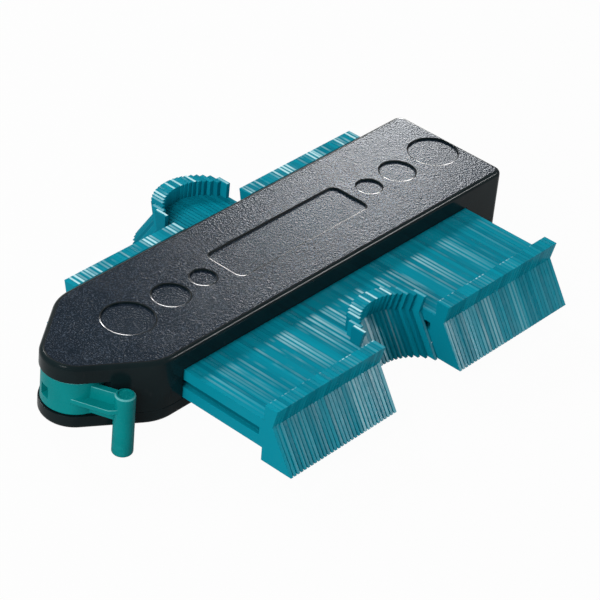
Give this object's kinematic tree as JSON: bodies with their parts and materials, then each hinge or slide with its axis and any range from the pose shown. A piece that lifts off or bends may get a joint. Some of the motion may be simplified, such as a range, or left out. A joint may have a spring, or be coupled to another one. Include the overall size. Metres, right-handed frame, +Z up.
{
  "type": "contour gauge",
  "caption": "Contour gauge: thin sliding leaves with anvil feet copy a profile, and a cam lever at the nose of the dark housing locks them.",
  "frame": {"origin": "on the flat underside of the housing, below the centre of the panel on its top", "axes": "+X along the housing from the lever's nose to the far end, -Y the working side, +Z up"},
  "size_m": [0.1722, 0.113, 0.0268],
  "materials": {
    "shell": "grained",
    "leaf": "satin",
    "lever": "satin",
    "steel": "plain"
  },
  "bodies": {
    "housing": {"upper_shell": "shell", "lower_shell": "shell", "pivot_screw": "steel", "shell_screws": "steel", "front_guide_bar": "steel", "rear_guide_bar": "steel"},
    "lever": {"lock_lever": "lever"},
    "clamp": {"clamp_plate": "shell"},
    "leaves_01": {"leaf_pair_01": "leaf"},
    "leaves_02": {"leaf_pair_02": "leaf"},
    "leaves_03": {"leaf_pair_03": "leaf"},
    "leaves_04": {"leaf_pair_04": "leaf"},
    "leaves_05": {"leaf_pair_05": "leaf"},
    "leaves_06": {"leaf_pair_06": "leaf"},
    "leaves_07": {"leaf_pair_07": "leaf"},
    "leaves_08": {"leaf_pair_08": "leaf"},
    "leaves_09": {"leaf_pair_09": "leaf"},
    "leaves_10": {"leaf_pair_10": "leaf"},
    "leaves_11": {"leaf_pair_11": "leaf"},
    "leaves_12": {"leaf_pair_12": "leaf"},
    "leaves_13": {"leaf_pair_13": "leaf"},
    "leaves_14": {"leaf_pair_14": "leaf"},
    "leaves_15": {"leaf_pair_15": "leaf"},
    "leaves_16": {"leaf_pair_16": "leaf"},
    "leaves_17": {"leaf_pair_17": "leaf"},
    "leaves_18": {"leaf_pair_18": "leaf"},
    "leaves_19": {"leaf_pair_19": "leaf"},
    "leaves_20": {"leaf_pair_20": "leaf"},
    "leaves_21": {"leaf_pair_21": "leaf"},
    "leaves_22": {"leaf_pair_22": "leaf"},
    "leaves_23": {"leaf_pair_23": "leaf"},
    "leaves_24": {"leaf_pair_24": "leaf"},
    "leaves_25": {"leaf_pair_25": "leaf"},
    "leaves_26": {"leaf_pair_26": "leaf"},
    "leaves_27": {"leaf_pair_27": "leaf"},
    "leaves_28": {"leaf_pair_28": "leaf"},
    "leaves_29": {"leaf_pair_29": "leaf"},
    "leaves_30": {"leaf_pair_30": "leaf"},
    "leaves_31": {"leaf_pair_31": "leaf"},
    "leaves_32": {"leaf_pair_32": "leaf"},
    "leaves_33": {"leaf_pair_33": "leaf"},
    "leaves_34": {"leaf_pair_34": "leaf"},
    "leaves_35": {"leaf_pair_35": "leaf"},
    "leaves_36": {"leaf_pair_36": "leaf"},
    "leaves_37": {"leaf_pair_37": "leaf"},
    "leaves_38": {"leaf_pair_38": "leaf"},
    "leaves_39": {"leaf_pair_39": "leaf"},
    "leaves_40": {"leaf_pair_40": "leaf"},
    "leaves_41": {"leaf_pair_41": "leaf"},
    "leaves_42": {"leaf_pair_42": "leaf"},
    "leaves_43": {"leaf_pair_43": "leaf"},
    "leaves_44": {"leaf_pair_44": "leaf"}
  },
  "joints": [
    {"name": "lever_turn", "type": "hinge", "parent": "housing", "child": "lever", "pos_m": [-0.08655, 0, 0.0094], "axis": [0, 0, 1], "range_deg": [-110, 0]},
    {"name": "clamp_slide", "type": "slide", "parent": "housing", "child": "clamp", "axis": [1, 0, 0], "range_m": [-0.0012, 0]},
    {"name": "leaf_slide_01", "type": "slide", "parent": "housing", "child": "leaves_01", "axis": [0, 1, 0], "range_m": [-0.001, 0.0296]},
    {"name": "leaf_slide_02", "type": "slide", "parent": "housing", "child": "leaves_02", "axis": [0, 1, 0], "range_m": [-0.001, 0.0296]},
    {"name": "leaf_slide_03", "type": "slide", "parent": "housing", "child": "leaves_03", "axis": [0, 1, 0], "range_m": [-0.001, 0.0296]},
    {"name": "leaf_slide_04", "type": "slide", "parent": "housing", "child": "leaves_04", "axis": [0, 1, 0], "range_m": [-0.001, 0.0296]},
    {"name": "leaf_slide_05", "type": "slide", "parent": "housing", "child": "leaves_05", "axis": [0, 1, 0], "range_m": [-0.001, 0.0296]},
    {"name": "leaf_slide_06", "type": "slide", "parent": "housing", "child": "leaves_06", "axis": [0, 1, 0], "range_m": [-0.001, 0.0296]},
    {"name": "leaf_slide_07", "type": "slide", "parent": "housing", "child": "leaves_07", "axis": [0, 1, 0], "range_m": [-0.001, 0.0296]},
    {"name": "leaf_slide_08", "type": "slide", "parent": "housing", "child": "leaves_08", "axis": [0, 1, 0], "range_m": [-0.001, 0.0296]},
    {"name": "leaf_slide_09", "type": "slide", "parent": "housing", "child": "leaves_09", "axis": [0, 1, 0], "range_m": [-0.001, 0.0296]},
    {"name": "leaf_slide_10", "type": "slide", "parent": "housing", "child": "leaves_10", "axis": [0, 1, 0], "range_m": [-0.001, 0.0296]},
    {"name": "leaf_slide_11", "type": "slide", "parent": "housing", "child": "leaves_11", "axis": [0, 1, 0], "range_m": [-0.001, 0.0296]},
    {"name": "leaf_slide_12", "type": "slide", "parent": "housing", "child": "leaves_12", "axis": [0, 1, 0], "range_m": [-0.001, 0.0296]},
    {"name": "leaf_slide_13", "type": "slide", "parent": "housing", "child": "leaves_13", "axis": [0, 1, 0], "range_m": [-0.001, 0.0296]},
    {"name": "leaf_slide_14", "type": "slide", "parent": "housing", "child": "leaves_14", "axis": [0, 1, 0], "range_m": [-0.001, 0.0296]},
    {"name": "leaf_slide_15", "type": "slide", "parent": "housing", "child": "leaves_15", "axis": [0, 1, 0], "range_m": [-0.001, 0.0296]},
    {"name": "leaf_slide_16", "type": "slide", "parent": "housing", "child": "leaves_16", "axis": [0, 1, 0], "range_m": [-0.001, 0.0296]},
    {"name": "leaf_slide_17", "type": "slide", "parent": "housing", "child": "leaves_17", "axis": [0, 1, 0], "range_m": [-0.00928, 0.01882]},
    {"name": "leaf_slide_18", "type": "slide", "parent": "housing", "child": "leaves_18", "axis": [0, 1, 0], "range_m": [-0.0135, 0.01581]},
    {"name": "leaf_slide_19", "type": "slide", "parent": "housing", "child": "leaves_19", "axis": [0, 1, 0], "range_m": [-0.01579, 0.01404]},
    {"name": "leaf_slide_20", "type": "slide", "parent": "housing", "child": "leaves_20", "axis": [0, 1, 0], "range_m": [-0.01715, 0.01303]},
    {"name": "leaf_slide_21", "type": "slide", "parent": "housing", "child": "leaves_21", "axis": [0, 1, 0], "range_m": [-0.01785, 0.01262]},
    {"name": "leaf_slide_22", "type": "slide", "parent": "housing", "child": "leaves_22", "axis": [0, 1, 0], "range_m": [-0.01785, 0.01262]},
    {"name": "leaf_slide_23", "type": "slide", "parent": "housing", "child": "leaves_23", "axis": [0, 1, 0], "range_m": [-0.01715, 0.01303]},
    {"name": "leaf_slide_24", "type": "slide", "parent": "housing", "child": "leaves_24", "axis": [0, 1, 0], "range_m": [-0.01579, 0.01404]},
    {"name": "leaf_slide_25", "type": "slide", "parent": "housing", "child": "leaves_25", "axis": [0, 1, 0], "range_m": [-0.0135, 0.01581]},
    {"name": "leaf_slide_26", "type": "slide", "parent": "housing", "child": "leaves_26", "axis": [0, 1, 0], "range_m": [-0.00928, 0.01882]},
    {"name": "leaf_slide_27", "type": "slide", "parent": "housing", "child": "leaves_27", "axis": [0, 1, 0], "range_m": [-0.001, 0.0296]},
    {"name": "leaf_slide_28", "type": "slide", "parent": "housing", "child": "leaves_28", "axis": [0, 1, 0], "range_m": [-0.001, 0.0296]},
    {"name": "leaf_slide_29", "type": "slide", "parent": "housing", "child": "leaves_29", "axis": [0, 1, 0], "range_m": [-0.001, 0.0296]},
    {"name": "leaf_slide_30", "type": "slide", "parent": "housing", "child": "leaves_30", "axis": [0, 1, 0], "range_m": [-0.001, 0.0296]},
    {"name": "leaf_slide_31", "type": "slide", "parent": "housing", "child": "leaves_31", "axis": [0, 1, 0], "range_m": [-0.001, 0.0296]},
    {"name": "leaf_slide_32", "type": "slide", "parent": "housing", "child": "leaves_32", "axis": [0, 1, 0], "range_m": [-0.001, 0.0296]},
    {"name": "leaf_slide_33", "type": "slide", "parent": "housing", "child": "leaves_33", "axis": [0, 1, 0], "range_m": [-0.001, 0.0296]},
    {"name": "leaf_slide_34", "type": "slide", "parent": "housing", "child": "leaves_34", "axis": [0, 1, 0], "range_m": [-0.001, 0.0296]},
    {"name": "leaf_slide_35", "type": "slide", "parent": "housing", "child": "leaves_35", "axis": [0, 1, 0], "range_m": [-0.001, 0.0296]},
    {"name": "leaf_slide_36", "type": "slide", "parent": "housing", "child": "leaves_36", "axis": [0, 1, 0], "range_m": [-0.001, 0.0296]},
    {"name": "leaf_slide_37", "type": "slide", "parent": "housing", "child": "leaves_37", "axis": [0, 1, 0], "range_m": [-0.001, 0.0296]},
    {"name": "leaf_slide_38", "type": "slide", "parent": "housing", "child": "leaves_38", "axis": [0, 1, 0], "range_m": [-0.001, 0.0296]},
    {"name": "leaf_slide_39", "type": "slide", "parent": "housing", "child": "leaves_39", "axis": [0, 1, 0], "range_m": [-0.001, 0.0296]},
    {"name": "leaf_slide_40", "type": "slide", "parent": "housing", "child": "leaves_40", "axis": [0, 1, 0], "range_m": [-0.001, 0.0296]},
    {"name": "leaf_slide_41", "type": "slide", "parent": "housing", "child": "leaves_41", "axis": [0, 1, 0], "range_m": [-0.001, 0.0296]},
    {"name": "leaf_slide_42", "type": "slide", "parent": "housing", "child": "leaves_42", "axis": [0, 1, 0], "range_m": [-0.001, 0.0296]},
    {"name": "leaf_slide_43", "type": "slide", "parent": "housing", "child": "leaves_43", "axis": [0, 1, 0], "range_m": [-0.001, 0.0296]},
    {"name": "leaf_slide_44", "type": "slide", "parent": "housing", "child": "leaves_44", "axis": [0, 1, 0], "range_m": [-0.001, 0.0296]}
  ],
  "couplings": [
    {"joint": "clamp_slide", "follows": "lever_turn", "m_per_rad": 0.000625}
  ]
}
